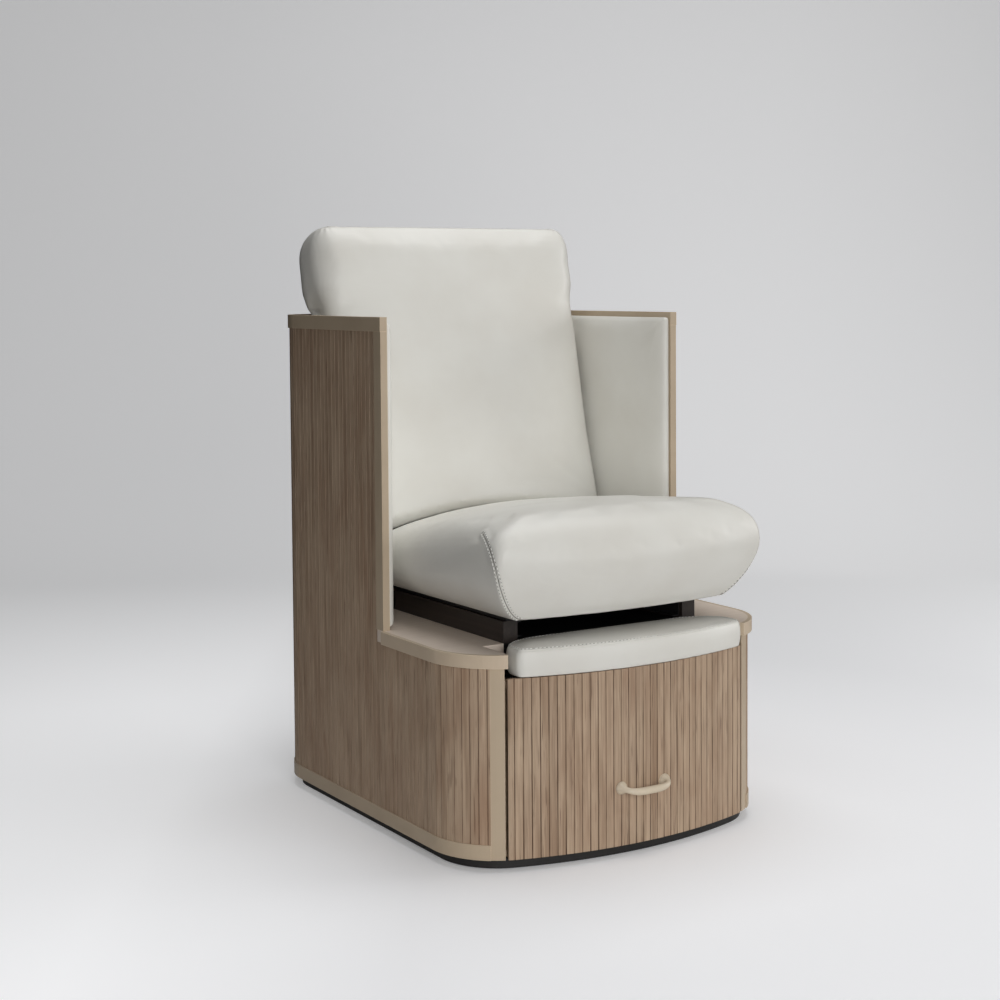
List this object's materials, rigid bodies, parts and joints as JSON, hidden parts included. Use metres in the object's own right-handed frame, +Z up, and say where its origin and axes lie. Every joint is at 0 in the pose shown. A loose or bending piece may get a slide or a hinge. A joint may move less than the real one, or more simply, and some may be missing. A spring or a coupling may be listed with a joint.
{
  "type": "pedicure spa chair",
  "caption": "Pedicure chair: slatted U-shaped shell, padded arms, sliding seat with reclining back, footrest, and a foot basin in a pull-out drawer.",
  "frame": {"origin": "middle of the bounding box at floor level", "axes": "+Z up, -Y towards the front of the chair (drawer handle), +X to the sitter's left as they face -Y; x = 0 is the middle plane"},
  "size_m": [0.702, 0.8729, 1.1593],
  "materials": {
    "slatted_wood": "satin, weathered walnut grain",
    "shelf_wood": "satin",
    "carcass_wood": "plain plywood",
    "trim": "taupe satin paint",
    "handle": "taupe satin paint",
    "upholstery": "off-white vinyl",
    "dark_board": "black stain",
    "feet": "black",
    "basin": "white",
    "plug": "black",
    "steel": "zinc-plated"
  },
  "bodies": {
    "base": {"levelling_feet": "feet", "toe_kick_frame": "dark_board", "toe_kick_front": "dark_board", "base_board": "carcass_wood", "base_rail_left": "trim", "base_rail_right": "trim", "base_rail_rear": "trim", "side_panel_left": "slatted_wood", "side_panel_right": "slatted_wood", "rear_panel": "slatted_wood", "corner_panel_left": "slatted_wood", "corner_panel_right": "slatted_wood", "drawer_stile_left": "trim", "drawer_stile_right": "trim", "arm_stile_left": "trim", "arm_stile_right": "trim", "rim_left": "trim", "rim_right": "trim", "rim_rear": "trim", "shelf_board": "shelf_wood", "shelf_edging_left": "trim", "shelf_edging_right": "trim", "bay_wall_left": "carcass_wood", "bay_wall_right": "carcass_wood", "plinth_left": "dark_board", "plinth_right": "dark_board", "plinth_back": "dark_board", "arm_pad_left": "upholstery", "arm_pad_right": "upholstery", "runner_outer_left": "steel", "runner_outer_right": "steel", "seat_rail_left": "steel", "seat_rail_right": "steel"},
    "runner_slides": {"runner_middles": "steel"},
    "drawer": {"runner_inner_left": "steel", "runner_inner_right": "steel", "drawer_skin": "slatted_wood", "drawer_core": "carcass_wood", "drawer_subfront": "carcass_wood", "drawer_side_left": "carcass_wood", "drawer_side_right": "carcass_wood", "drawer_back": "carcass_wood", "drawer_bottom": "carcass_wood", "drawer_handle": "handle", "handle_screws": "steel", "foot_basin": "basin", "basin_plug": "plug", "post_guides": "steel"},
    "footrest": {"footrest_board": "dark_board", "footrest_pad": "upholstery", "footrest_posts": "steel"},
    "seat": {"seat_pan": "dark_board", "seat_cushion": "upholstery", "seat_slider_left": "steel", "seat_slider_right": "steel", "hinge_ears": "steel", "hinge_pins": "steel"},
    "back": {"back_board": "dark_board", "back_arms": "steel", "back_cushion": "upholstery"}
  },
  "joints": [
    {"name": "drawer_slide", "type": "slide", "parent": "base", "child": "drawer", "axis": [0, -1, 0], "range_m": [0, 0.4]},
    {"name": "runner_slide", "type": "slide", "parent": "base", "child": "runner_slides", "axis": [0, -1, 0], "range_m": [0, 0.2]},
    {"name": "footrest_lift", "type": "slide", "parent": "drawer", "child": "footrest", "axis": [0, 0, 1], "range_m": [0, 0.025]},
    {"name": "seat_slide", "type": "slide", "parent": "base", "child": "seat", "axis": [0, -1, 0], "range_m": [0, 0.1]},
    {"name": "back_recline", "type": "hinge", "parent": "seat", "child": "back", "pos_m": [0, 0.2955, 0.47], "axis": [-1, 0, 0], "range_deg": [0, 4.5]}
  ],
  "couplings": [
    {"joint": "runner_slide", "follows": "drawer_slide", "ratio": 0.5}
  ]
}
